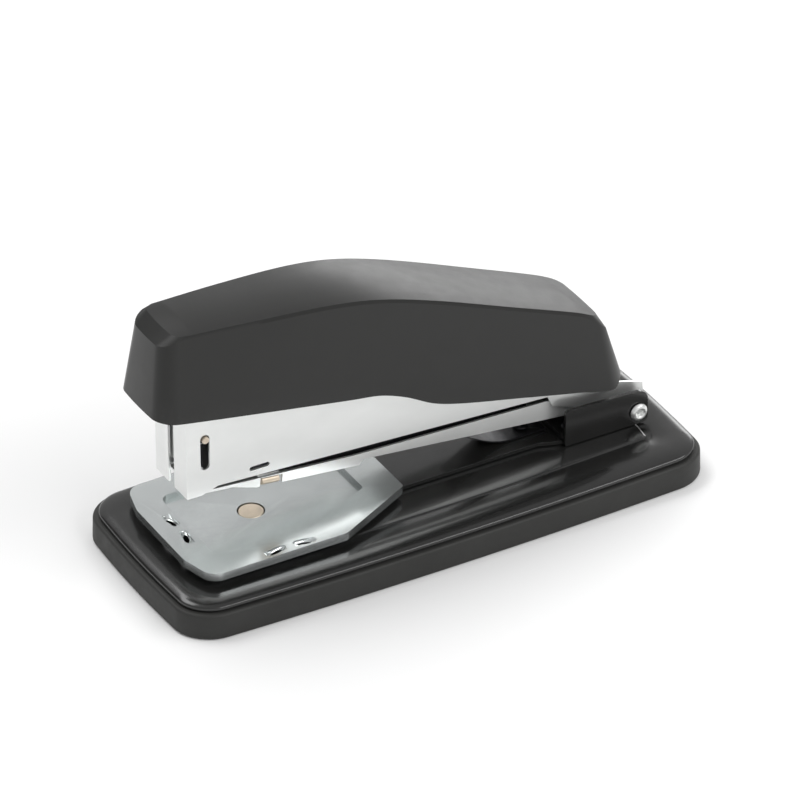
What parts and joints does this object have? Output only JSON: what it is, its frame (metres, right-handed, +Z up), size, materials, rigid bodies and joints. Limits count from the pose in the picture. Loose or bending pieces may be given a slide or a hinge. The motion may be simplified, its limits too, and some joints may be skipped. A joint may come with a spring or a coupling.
{
  "type": "desk stapler",
  "caption": "Desk stapler with a hinged cover, sprung magazine, sliding pusher and a head that swivels on a post over a three-way clinching anvil.",
  "frame": {"origin": "middle of the base's underside", "axes": "-X to the nose, +X to the hinge, +Y to the left of the nose, +Z up"},
  "size_m": [0.1498, 0.0624, 0.0745],
  "materials": {
    "pad_rubber": "matte dark grey moulded rubber",
    "black_enamel": "gloss black enamel",
    "satin_plate": "satin zinc plate",
    "warm_zinc": "matte warm metal",
    "bright_nickel": "bright nickel plate",
    "dark_steel": "dark oxide",
    "black_plastic": "fine satin grain"
  },
  "bodies": {
    "base": {"base_pad": "pad_rubber", "base_pan": "black_enamel", "anvil_plate": "satin_plate", "anvil_post": "warm_zinc", "plate_stud_left": "bright_nickel", "plate_stud_right": "bright_nickel"},
    "arm": {"swivel_arm": "black_enamel", "hinge_bracket": "black_enamel", "bracket_rivet_front_left": "dark_steel", "bracket_rivet_front_right": "dark_steel", "bracket_rivet_rear_left": "dark_steel", "bracket_rivet_rear_right": "dark_steel", "lift_spring": "dark_steel", "lift_spring_rivet": "dark_steel", "hinge_pin": "bright_nickel"},
    "magazine": {"staple_trough": "bright_nickel", "staple_rail": "dark_steel", "guide_rod": "bright_nickel", "keel_roller": "warm_zinc", "pusher_spring": "bright_nickel"},
    "pusher": {"staple_pusher": "bright_nickel"},
    "head": {"head_frame": "bright_nickel", "head_spring": "bright_nickel"},
    "driver": {"driver_blade": "bright_nickel", "driver_pin": "warm_zinc"},
    "cover": {"cover": "black_plastic", "handle_frame": "dark_steel", "cover_screw_front": "bright_nickel", "cover_screw_rear": "bright_nickel"}
  },
  "joints": [
    {"name": "head_swivel", "type": "hinge", "parent": "base", "child": "arm", "pos_m": [-0.0418, 0, 0.0098], "axis": [0, 0, 1], "range_deg": [-90, 90]},
    {"name": "magazine_tilt", "type": "hinge", "parent": "arm", "child": "magazine", "pos_m": [0.0625, 0, 0.0135], "axis": [0, 1, 0], "range_deg": [-5.2, 0], "stiffness_Nm_per_rad": 1.5, "springref_deg": 6.88, "deforming": ["lift_spring"]},
    {"name": "pusher_slide", "type": "slide", "parent": "magazine", "child": "pusher", "axis": [0.9945, 0, -0.1045], "range_m": [0, 0.06], "stiffness_N_per_m": 20, "springref_m": -0.03, "deforming": ["pusher_spring"]},
    {"name": "head_open", "type": "hinge", "parent": "magazine", "child": "head", "pos_m": [0.0625, 0, 0.0135], "axis": [0, 1, 0], "range_deg": [0, 55]},
    {"name": "cover_press", "type": "hinge", "parent": "head", "child": "cover", "pos_m": [0.0625, 0, 0.0135], "axis": [0, 1, 0], "range_deg": [-3, 0], "stiffness_Nm_per_rad": 3, "springref_deg": 2.29, "deforming": ["head_spring"]},
    {"name": "driver_slide", "type": "slide", "parent": "head", "child": "driver", "axis": [0, 0, -1], "range_m": [0, 0.0064]}
  ],
  "couplings": [
    {"joint": "driver_slide", "follows": "cover_press", "m_per_rad": -0.1222}
  ]
}
